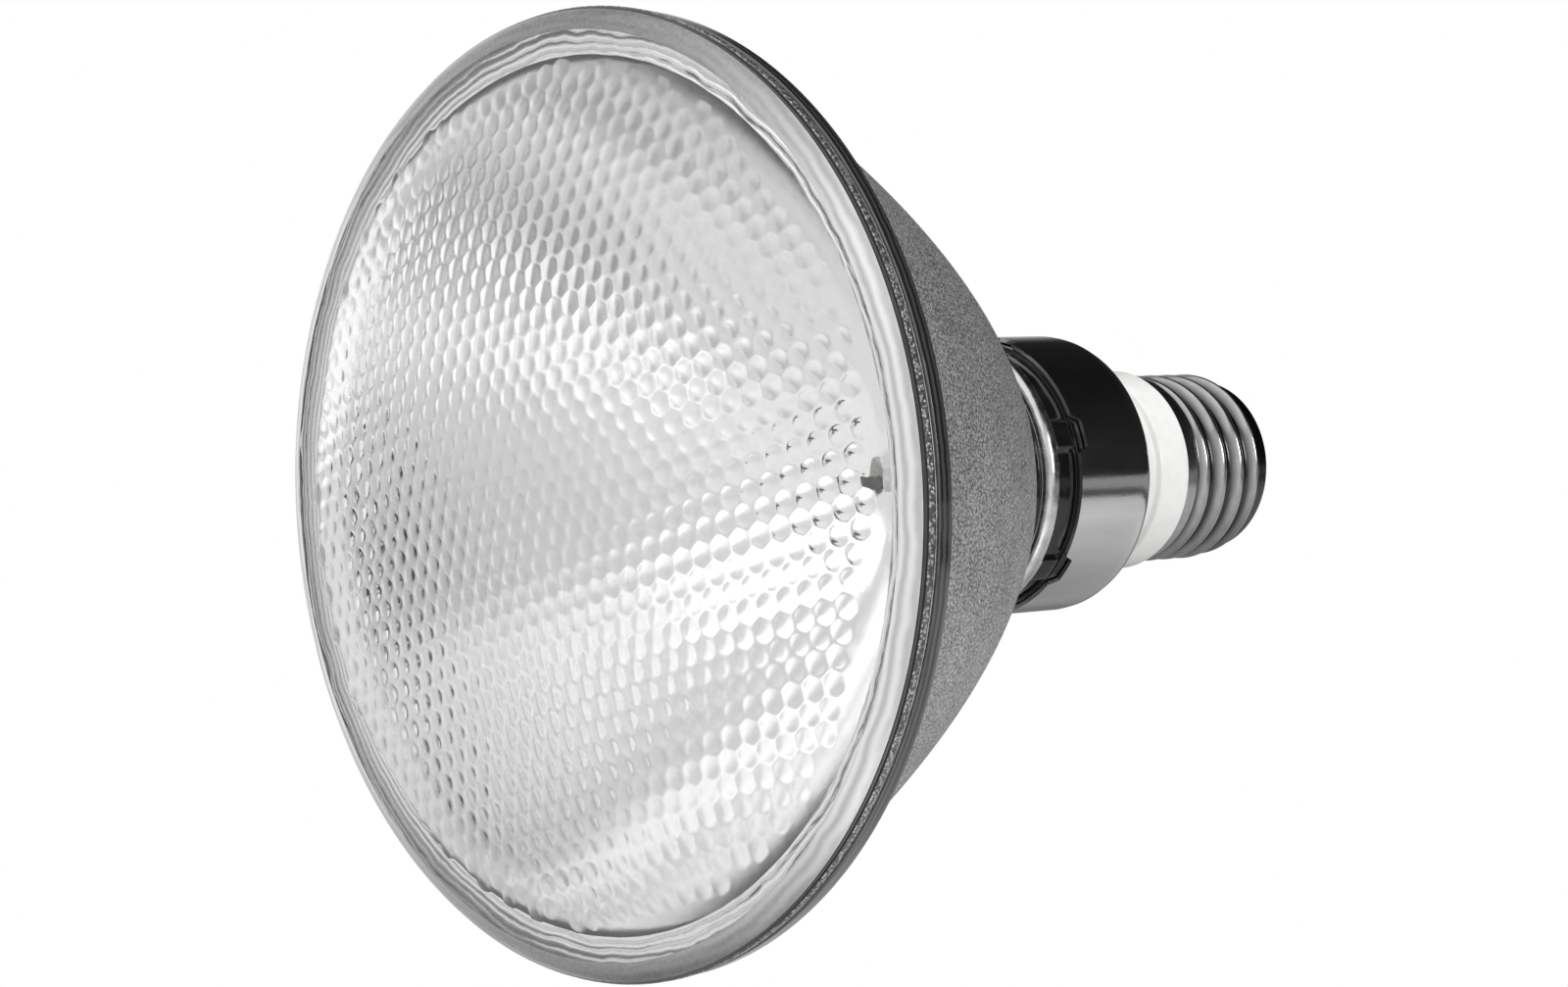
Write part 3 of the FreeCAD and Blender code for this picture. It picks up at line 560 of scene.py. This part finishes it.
# Polished drawn aluminium: nearly a mirror, with wiping marks and scuffs that soften what it shows.
aluminium, tree, shader, place = finish_of("polished_drawn_aluminium", Metallic=1.0)
stretched = add(tree, "Mapping", {"Vector": place, "Scale": (1.0, 0.25, 1.0)})
wipe = add(tree, "TexNoise", {"Vector": stretched, "Scale": 1 / (3.0 * MM), "Detail": 3.0})
scuff = add(tree, "TexNoise", {"Vector": place, "Scale": 1 / (0.35 * MM), "Detail": 2.0})
tone = add(tree, "Mix", {0: wipe, 6: linear("c2c2c2"), 7: linear("dcdcdc")}, data_type="RGBA")
gloss = add(tree, "MapRange", {"Value": wipe, "To Min": 0.06, "To Max": 0.18})
lift = add(tree, "Bump", {"Height": scuff, "Distance": 0.006 * MM})
feed(shader, {"Base Color": tone.outputs[2], "Roughness": gloss, "Normal": lift})
dress(skirt, "drawn_aluminium", aluminium)
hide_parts("skirt")

# Basing cement and the pumping tube behind the mirror: phenolic cement baked hard between the hub,
# the skirt and the collar's flange, and a glass tube that was melted shut after filling. The cement is
# dark brown, sandy and matt.
cement, tree, shader, place = finish_of("baked_cement", Roughness=0.9)
sand = add(tree, "TexNoise", {"Vector": place, "Scale": 1 / (0.5 * MM), "Detail": 4.0})
tone = add(tree, "Mix", {0: sand, 6: linear("2b2927"), 7: linear("45413b")}, data_type="RGBA")
lift = add(tree, "Bump", {"Height": sand, "Distance": 0.2 * MM})
feed(shader, {"Base Color": tone.outputs[2], "Normal": lift})
cover(cement, "basing_cement")
cover(clear, "exhaust_tip")

# Ceramic collar: glazed white porcelain, turned before firing. A groove runs round it next to the
# skirt, its flange is held in the cement, and its nose centres the screw shell.
BORE, FLANGE, COLLAR, GROOVE, NOSE = 5.5, 15.1, 13.95, 13.2, 11.55


def turned(name, section, around=192):
    """Closed surface of revolution of a section's (r, y)."""
    t = np.linspace(0, 2 * math.pi, around, endpoint=False)
    return surface(name, round_axis(section[:, :1], section[:, 1:], t), wrap_rows=True)


collar = turned("porcelain_collar", rounded([
    (BORE, -15.5, 0.4), (FLANGE, -15.5, 0.3), (FLANGE, -12.1, 0.15), (COLLAR, -12.1, 0.1),
    (COLLAR, -11.3, 0.15), (GROOVE, -11.3, 0.2), (GROOVE, -6.2, 0.3), (COLLAR, -5.8, 0.3),
    (COLLAR, 0.0, 0.45), (NOSE, 0.0, 0.1), (NOSE, 11.0, 0.4), (BORE, 11.0, 0.4), (BORE, -15.0, 0)], 0.5))
# Glazed porcelain: a white body that lets a little light in, under a thin gloss.
porcelain, tree, shader, place = finish_of("glazed_porcelain", Coat_Weight=0.5, Coat_Roughness=0.12,
                                           Subsurface_Weight=0.08, Subsurface_Scale=0.002)
body_tone = add(tree, "TexNoise", {"Vector": place, "Scale": 1 / (2.0 * MM), "Detail": 3.0})
tone = add(tree, "Mix", {0: body_tone, 6: linear("e6e6e4"), 7: linear("f6f6f4")}, data_type="RGBA")
gloss = add(tree, "MapRange", {"Value": body_tone, "To Min": 0.3, "To Max": 0.45})
lift = add(tree, "Bump", {"Height": body_tone, "Distance": 0.02 * MM})
feed(shader, {"Base Color": tone.outputs[2], "Roughness": gloss, "Normal": lift})
dress(collar, "porcelain", porcelain)
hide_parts("ceramic_collar")

# Screw shell: brass sheet, nickel plated, with its thread rolled as one right-hand helix. The plain
# rim sits on the collar, and the mouth is turned in over the glass button.
CREST, ROOT, PITCH, SHELL_WALL, SHELL_MOUTH = 13.2, 12.15, 3.629, 0.35, 9.6
THREAD_START, FIRST_CREST, THREAD_RUN_OUT, SHELL_END = 3.4, 4.85, 17.9, 20.1
LEAD_IN, LEAD_OUT = 1.6, 2.6
# The radius swings from root to crest as the cosine of y over the pitch plus the angle, eased in from
# the plain rim and out to the root. The inside lies one wall in, square to the outside.
t = np.linspace(0, 2 * math.pi, 288, endpoint=False)
y = np.linspace(0, THREAD_RUN_OUT, 150)[:, None]
phase = (y - FIRST_CREST) / PITCH + t / (2 * math.pi)
wave = 0.5 + 0.5 * np.cos(2 * math.pi * phase)
entry = eased((y - THREAD_START + 1.1) / LEAD_IN)
run_out = eased((THREAD_RUN_OUT - 0.2 - y) / LEAD_OUT)
thread_r = CREST + (ROOT + (CREST - ROOT) * wave * run_out - CREST) * entry
shoulder = rounded([(ROOT, THREAD_RUN_OUT, 0), (ROOT - 0.1, THREAD_RUN_OUT + 0.9, 1.2),
                    (10.4, SHELL_END, 0.7), (SHELL_MOUTH, SHELL_END, 0)], 0.25)[1:]
shoulder_r = np.repeat(shoulder[:, :1], len(t), 1)
shoulder_y = np.repeat(shoulder[:, 1:], len(t), 1)
outside_r = np.vstack([thread_r, shoulder_r])
outside_y = np.vstack([y + 0 * t, shoulder_y])
steep = np.gradient(outside_r, axis=0), np.gradient(outside_y, axis=0)
length = np.hypot(*steep)
inside_r = (outside_r - SHELL_WALL * steep[1] / length)[::-1]
inside_y = (outside_y + SHELL_WALL * steep[0] / length)[::-1]
shell_r = np.vstack([outside_r, inside_r])
shell_y = np.vstack([outside_y, np.clip(inside_y, 0, None)])
shell = surface("rolled_screw_shell", round_axis(shell_r, shell_y, t), wrap_rows=True)
# Nickel plate over brass: a glossy grey with soft rolling marks, and painted shade dark down in the
# grooves.
nickel, tree, shader, place = finish_of("nickel_plated_brass", Metallic=1.0)
stretched = add(tree, "Mapping", {"Vector": place, "Scale": (1.0, 2.0, 1.0)})
rolling = add(tree, "TexNoise", {"Vector": stretched, "Scale": 1 / (2.2 * MM), "Detail": 3.0})
flat_place = add(tree, "VectorMath", {0: place, 1: (1.0, 0.0, 1.0)}, operation="MULTIPLY")
off_axis = add(tree, "VectorMath", {0: flat_place}, operation="LENGTH")
# Painted shade: the colour runs from the plate's grey at the crests to dark grey at the thread's root.
painted_groove_shade = add(tree, "MapRange", {"Value": off_axis.outputs["Value"],
                                "From Min": (ROOT + 0.1) * MM, "From Max": (CREST - 0.15) * MM})
plate = add(tree, "Mix", {0: rolling, 6: linear("9a9a9a"), 7: linear("c8c8c8")}, data_type="RGBA")
tone = add(tree, "Mix", {0: painted_groove_shade, 6: linear("4e4e4e"), 7: plate.outputs[2]}, data_type="RGBA")
gloss = add(tree, "MapRange", {"Value": rolling, "To Min": 0.14, "To Max": 0.3})
lift = add(tree, "Bump", {"Height": rolling, "Distance": 0.012 * MM})
feed(shader, {"Base Color": tone.outputs[2], "Roughness": gloss, "Normal": lift})
dress(shell, "nickelled_brass", nickel)
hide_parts("screw_shell")

# Insulating button: black glass, moulded hot in the shell's mouth, with a dish for the contact disc
# and a hole for the wire that comes up to it.
BUTTON_END, DISH_DEPTH, HOLE, DISC = 24.3, 1.0, 0.9, 4.9
DISC_FLOOR = BUTTON_END - DISH_DEPTH
button = turned("black_glass_button", rounded([
    (HOLE, 18.1, 0.1), (11.5, 18.1, 0.2), (10.4, 19.7, 0.1), (9.55, 19.75, 0.1), (9.55, SHELL_END, 0.2),
    (5.9, BUTTON_END, 0.5), (DISC + 0.1, BUTTON_END, 0.1), (DISC + 0.1, DISC_FLOOR, 0.1),
    (HOLE, DISC_FLOOR, 0.1), (HOLE, 18.3, 0)], 0.5), 128)
# Black moulded glass: nearly black, with slow flow marks and a sharp gleam.
black_glass, tree, shader, place = finish_of("black_moulded_glass", Coat_Weight=0.5, Coat_Roughness=0.05)
flow = add(tree, "TexNoise", {"Vector": place, "Scale": 1 / (3.0 * MM), "Detail": 2.0})
tone = add(tree, "Mix", {0: flow, 6: linear("0b0b0d"), 7: linear("19191b")}, data_type="RGBA")
gloss = add(tree, "MapRange", {"Value": flow, "To Min": 0.08, "To Max": 0.22})
lift = add(tree, "Bump", {"Height": flow, "Distance": 0.05 * MM})
feed(shader, {"Base Color": tone.outputs[2], "Roughness": gloss, "Normal": lift})
dress(button, "black_glass", black_glass)
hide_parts("tip_insulator")

# Contact disc: stamped from brass sheet with a hole for the wire, and pressed into the button's dish.
# It is the lamp's second pole.
DISC_THICKNESS = 0.6
DISC_TOP = DISC_FLOOR + DISC_THICKNESS
eyelet = turned("brass_contact_disc", rounded([
    (HOLE, DISC_FLOOR, 0.05), (DISC, DISC_FLOOR, 0.1), (DISC, DISC_TOP, 0.3), (HOLE, DISC_TOP, 0.1),
    (HOLE, DISC_FLOOR + 0.1, 0)], 0.3), 96)
# Bare brass: yellow, and cloudy from the stamping.
brass, tree, shader, place = finish_of("bare_brass", Metallic=1.0)
stamp = add(tree, "TexNoise", {"Vector": place, "Scale": 1 / (0.6 * MM), "Detail": 3.0})
tone = add(tree, "Mix", {0: stamp, 6: linear("b08d45"), 7: linear("cfae63")}, data_type="RGBA")
gloss = add(tree, "MapRange", {"Value": stamp, "To Min": 0.18, "To Max": 0.35})
feed(shader, {"Base Color": tone.outputs[2], "Roughness": gloss})
dress(eyelet, "contact_brass", brass)
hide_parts("centre_contact")

# Contact solder: tin solder, run hot over the wire's end, which joins it to the disc. The dome is a cap
# of a ball, and it swells and shrinks a little, twice round the axis.
BLOB, BLOB_HEIGHT = 2.4, 1.1
blob_r = np.linspace(BLOB, 0, 16)
blob_ball = (BLOB ** 2 + BLOB_HEIGHT ** 2) / (2 * BLOB_HEIGHT)
blob_y = DISC_TOP + BLOB_HEIGHT - blob_ball + np.sqrt(blob_ball ** 2 - blob_r ** 2)
blob_section = np.vstack([[[0, DISC_TOP]], np.column_stack([blob_r, blob_y])])
t = np.linspace(0, 2 * math.pi, 64, endpoint=False)
lump = 1 + 0.03 * np.sin(2 * t + 0.6) * (blob_section[:, :1] > 0.1)
blob = surface("solder_dome", round_axis(blob_section[:, :1] * lump, blob_section[:, 1:], t),
               wrap_rows=True)
dress(blob, "solder", tin_solder)
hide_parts("contact_solder")

# Leads inside the cap: tinned copper wire from each ferrule, one to the contact inside a woven glass
# sleeve and one out over the collar's nose to the shell. They are sealed in, so they keep the frame's
# shapes. The tinning is silvery with the copper showing through in patches.
tinned_copper, tree, shader, place = finish_of("tinned_copper", Metallic=1.0)
tinning = add(tree, "TexNoise", {"Vector": place, "Scale": 1 / (0.8 * MM), "Detail": 3.0})
tone = add(tree, "Mix", {0: tinning, 6: linear("b87653"), 7: linear("c9c4be")}, data_type="RGBA")
gloss = add(tree, "MapRange", {"Value": tinning, "To Min": 0.2, "To Max": 0.4})
feed(shader, {"Base Color": tone.outputs[2], "Roughness": gloss})
cover(tinned_copper, "contact_wire", "shell_wire")
# Woven glass sleeving: matt cream, with the slanting ribs of its braid about 0.7 mm apart.
DIAGONAL_WAVE = 2 * math.pi / (10 * math.sqrt(3))  # a diagonal wave repeats after this, over its scale
sleeving, tree, shader, place = finish_of("woven_glass_sleeving", Roughness=0.85)
braid = add(tree, "TexWave", {"Vector": place, "Scale": DIAGONAL_WAVE / (0.6965 * MM)},
            bands_direction="DIAGONAL")
tone = add(tree, "Mix", {0: braid, 6: linear("c9c4b4"), 7: linear("efebdf")}, data_type="RGBA")
lift = add(tree, "Bump", {"Height": braid, "Distance": 0.06 * MM})
feed(shader, {"Base Color": tone.outputs[2], "Normal": lift})
cover(sleeving, "wire_sleeve")

# Studio: a pale floor below the lamp, a broad soft light above and in front of it, and white
# surroundings in front of the lens. What stands behind the cap is dark, as in the photo's reflections.
FLOOR_LEVEL, FLOOR_REACH = -100.0, 4e3
floor_corners = FLOOR_REACH * np.array([[-1, -1], [1, -1], [1, 1], [-1, 1]])
floor = from_faces("floor", np.column_stack([floor_corners, np.full(4, FLOOR_LEVEL)]),
                   np.array([[0, 1, 2, 3]]))
# Lit card: it glows evenly in front of the lens, and in steps of grey behind the cap, where the metal
# parts mirror it. Paper fibres give it the faintest cloud.
pale, tree, shader, place = finish_of("lit_white_card")
fibre = add(tree, "TexNoise", {"Vector": place, "Scale": 1 / (30.0 * MM), "Detail": 2.0})
white = add(tree, "Mix", {0: fibre, 6: linear("f4f4f4"), 7: linear("fefefe")}, data_type="RGBA")
distance = add(tree, "VectorMath", {0: place}, operation="LENGTH")
far_off = add(tree, "MapRange", {"Value": distance.outputs["Value"], "From Min": 100 * MM,
                                 "From Max": 1300 * MM})
behind = add(tree, "ValToRGB", {"Fac": far_off})
behind.color_ramp.elements[0].color = linear("9c9c9c")
behind.color_ramp.elements[1].color = linear("a4a4a4")
for at, grey in ((0.04, "cccccc"), (0.12, "e2e2e2"), (0.28, "d4d4d4"), (0.34, "545454"),
                 (0.5, "545454"), (0.6, "a0a0a0")):
    stop = behind.color_ramp.elements.new(at)
    stop.color = linear(grey)
apart = add(tree, "SeparateXYZ", {"Vector": place})
leftwards = add(tree, "MapRange", {"Value": apart.outputs["X"], "From Min": 30 * MM,
                                   "From Max": -120 * MM})
dim = add(tree, "Mix", {0: leftwards, 6: behind, 7: linear("7c7c7c")}, data_type="RGBA")
far_left = add(tree, "MapRange", {"Value": apart.outputs["X"], "From Min": -450 * MM,
                                  "From Max": -900 * MM})
dim = add(tree, "Mix", {0: far_left, 6: dim.outputs[2], 7: linear("e4e4e4")}, data_type="RGBA")
backwards = add(tree, "MapRange", {"Value": apart.outputs["Y"], "From Min": -90 * MM,
                                   "From Max": 30 * MM})
tone = add(tree, "Mix", {0: backwards, 6: white.outputs[2], 7: dim.outputs[2]}, data_type="RGBA")
# Painted shadow of the lamp under its rim, and a painted pool of the light it gathers beside it at the
# front.
under = add(tree, "VectorMath", {0: place, 1: Vector((0.0, -95.0, FLOOR_LEVEL)) * MM},
            operation="DISTANCE")
painted_shadow = add(tree, "MapRange", {"Value": under.outputs["Value"], "From Min": 20 * MM,
                                "From Max": 75 * MM, "To Min": 0.35},
             interpolation_type="SMOOTHSTEP")
beside = add(tree, "VectorMath", {0: place, 1: Vector((100.0, -120.0, FLOOR_LEVEL)) * MM},
             operation="DISTANCE")
painted_light_pool = add(tree, "MapRange", {"Value": beside.outputs["Value"], "From Min": 25 * MM,
                              "From Max": 60 * MM, "To Min": 2.0},
           interpolation_type="SMOOTHSTEP")
strength = add(tree, "Math", {0: painted_shadow, 1: painted_light_pool}, operation="MULTIPLY")
card_glow = add(tree, "Emission", {"Color": tone.outputs[2], "Strength": strength})
plain_glow = add(tree, "Emission", {"Strength": 1.0})
ray = add(tree, "LightPath", {})
seen = add(tree, "MixShader", {0: ray.outputs["Is Camera Ray"], 1: card_glow, 2: plain_glow})
feed(tree.nodes["Material Output"], {"Surface": seen})
floor.data.materials.append(pale)


def direction(azimuth, elevation):
    """Unit vector towards a place round the lamp: azimuth from -Y towards +X, elevation above level."""
    a, e = math.radians(azimuth), math.radians(elevation)
    return Vector((math.sin(a) * math.cos(e), -math.cos(a) * math.cos(e), math.sin(e)))


# A broad soft light above, and a tall narrow one at the right, which the thread's flanks mirror.
light = bpy.data.lights.new("overhead", "SUN")
light.energy = 1.3
light.angle = math.radians(90.0)
overhead = bpy.data.objects.new("overhead", light)
overhead.rotation_euler = direction(0.0, 62.0).to_track_quat("Z", "Y").to_euler()
bpy.context.collection.objects.link(overhead)
light = bpy.data.lights.new("side_strip", "AREA")
light.shape = "RECTANGLE"
light.size, light.size_y, light.energy = 0.2, 0.36, 2.5
strip = bpy.data.objects.new("side_strip", light)
strip.location = direction(104.0, 17.0)
strip.rotation_euler = strip.location.to_track_quat("Z", "Y").to_euler()
strip.visible_camera = False
bpy.context.collection.objects.link(strip)

# Surroundings: white in front and dark behind the cap, with the dark gaps through which the camera and
# the room show in the glass. Matt surfaces get even light, and the camera sees a white background.
world = bpy.data.worlds.new("studio")
bpy.context.scene.world = world
world.use_nodes = True
tree = world.node_tree
around = tree.nodes.new("ShaderNodeTexCoord").outputs["Generated"]
dark_side = add(tree, "VectorMath", {0: around, 1: (0.30, 0.90, 0.30)}, operation="DOT_PRODUCT")
lit = add(tree, "MapRange", {"Value": dark_side.outputs["Value"], "From Min": 0.36,
                             "From Max": 0.6, "To Min": 0.92, "To Max": 0.02},
          interpolation_type="SMOOTHSTEP")
above = add(tree, "SeparateXYZ", {"Vector": around})
ceiling = add(tree, "MapRange", {"Value": above.outputs["Z"], "From Min": 0.3,
                                 "From Max": 0.85, "To Min": 1.0, "To Max": 0.35},
              interpolation_type="SMOOTHSTEP")
lit = add(tree, "Math", {0: lit, 1: ceiling}, operation="MULTIPLY")
GAP_EDGE = math.cos(math.radians(6.0))
for azimuth, elevation, half_width in ((48.0, 6.0, 2.5), (49.0, -8.0, 2.5), (74.0, -3.0, 1.5)):
    side = add(tree, "VectorMath", {0: around, 1: direction(azimuth, elevation)},
               operation="DOT_PRODUCT")
    gap = add(tree, "MapRange", {"Value": side.outputs["Value"], "From Min": GAP_EDGE,
                                 "From Max": math.cos(math.radians(half_width)),
                                 "To Min": 1.0, "To Max": 0.03},
              interpolation_type="SMOOTHSTEP")
    lit = add(tree, "Math", {0: lit, 1: gap}, operation="MULTIPLY")
# What a surface mirrors at first hand is darker on the right, and it shows a small lamp at the front
# left that glints on the bumps. What comes through the glass is evened out, as by more soft boxes.
ray = add(tree, "LightPath", {})
right_side = add(tree, "VectorMath", {0: around, 1: direction(92.0, 24.0)}, operation="DOT_PRODUCT")
shade = add(tree, "MapRange", {"Value": right_side.outputs["Value"], "From Min": 0.5,
                               "From Max": 0.7, "To Min": 1.0, "To Max": 0.04},
            interpolation_type="SMOOTHSTEP")
small = add(tree, "VectorMath", {0: around, 1: direction(-50.0, 8.0)}, operation="DOT_PRODUCT")
point = add(tree, "MapRange", {"Value": small.outputs["Value"],
                               "From Min": math.cos(math.radians(10.0)),
                               "From Max": math.cos(math.radians(8.0)), "To Max": 6.0})
first_hand = add(tree, "Math", {0: lit, 1: shade, 2: point}, operation="MULTIPLY_ADD")
mirrored = add(tree, "Math", {0: ray.outputs["Ray Depth"], 1: 1.5}, operation="LESS_THAN")
lit = add(tree, "Mix", {0: mirrored, 2: lit, 3: first_hand})
through = add(tree, "Math", {0: ray.outputs["Is Transmission Ray"], 1: 0.72}, operation="MULTIPLY")
lit = add(tree, "Mix", {0: through, 2: lit, 3: 0.77})
matt = add(tree, "Mix", {0: ray.outputs["Is Diffuse Ray"], 2: lit, 3: 0.8})
seen = add(tree, "Mix", {0: ray.outputs["Is Camera Ray"], 2: matt, 3: 1.0})
feed(tree.nodes["Background"], {"Color": linear("ffffff"), "Strength": seen})
bpy.context.scene.view_settings.view_transform = "Standard"
